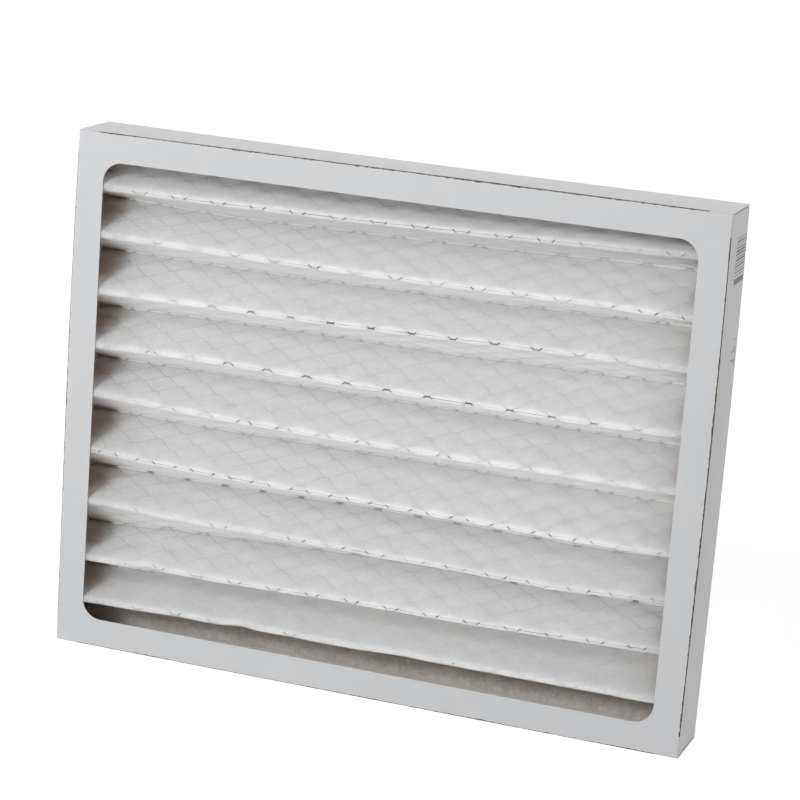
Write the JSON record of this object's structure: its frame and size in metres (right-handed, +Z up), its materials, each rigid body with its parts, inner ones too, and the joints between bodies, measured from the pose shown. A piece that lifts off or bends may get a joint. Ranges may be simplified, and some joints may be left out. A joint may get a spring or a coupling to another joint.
{
  "type": "pleated panel air filter",
  "caption": "Flat rectangular air filter: a white pleated sheet backed by an expanded-metal grid, held in a shallow folded paperboard frame with rounded windows front and back.",
  "frame": {"origin": "middle of the underside of the frame, where it stands", "axes": "+X along the width, +Z up along the height, -Y out of the air-entering face"},
  "size_m": [0.5, 0.051, 0.401],
  "materials": {
    "board": "clay-coated white outside, satin, raw brown at cut edges",
    "media": "fuzzy nonwoven, matt and translucent",
    "grid": "galvanised, dull",
    "glue": "hot melt, semi-gloss"
  },
  "bodies": {
    "root": {"front_tray": "board", "rear_tray": "board", "pleated_media": "media", "support_grid": "grid", "glue_left": "glue", "glue_right": "glue", "glue_top": "glue", "glue_bottom": "glue"}
  },
  "joints": []
}
